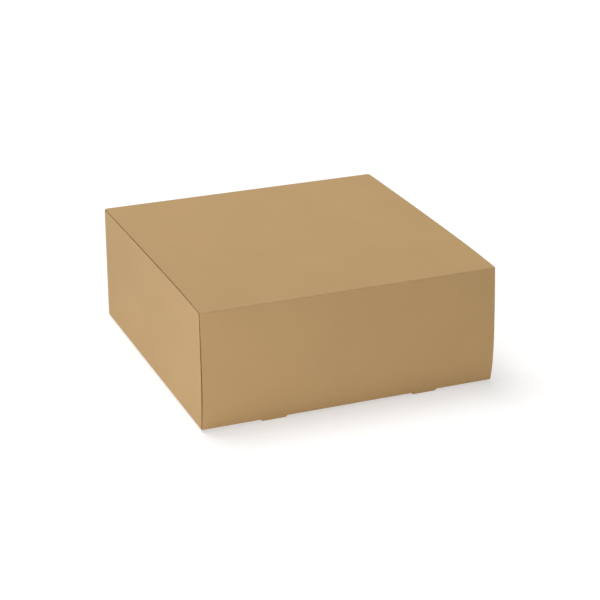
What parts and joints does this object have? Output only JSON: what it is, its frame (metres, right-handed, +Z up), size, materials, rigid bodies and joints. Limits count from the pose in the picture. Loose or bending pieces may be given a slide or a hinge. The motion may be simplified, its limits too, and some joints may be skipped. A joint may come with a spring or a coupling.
{
  "type": "square gift box with hinged lid",
  "caption": "Low square box folded from plain kraft board, with a lid hinged at the rear and a bowed front flap whose tongues lock at the bottom fold.",
  "frame": {"origin": "centre of the overall box in plan, at the height of the front flap's tongue tips, which are the lowest points", "axes": "+X along the front to the right as seen from the front, +Y from the front flap to the rear hinge fold, +Z up"},
  "size_m": [0.31, 0.3138, 0.1262],
  "materials": {
    "kraft_board": "uncoated natural kraft liner on micro-flute board, matte"
  },
  "bodies": {
    "tray": {"tray": "kraft_board"},
    "lid": {"lid": "kraft_board"},
    "front_flap": {"front_flap": "kraft_board"}
  },
  "joints": [
    {"name": "lid_hinge", "type": "hinge", "parent": "tray", "child": "lid", "pos_m": [0, 0.15575, 0.1233], "axis": [-1, 0, 0], "range_deg": [0, 150]},
    {"name": "front_flap_fold", "type": "hinge", "parent": "lid", "child": "front_flap", "pos_m": [0, -0.15185, 0.1233], "axis": [-1, 0, 0], "range_deg": [0, 90]}
  ]
}
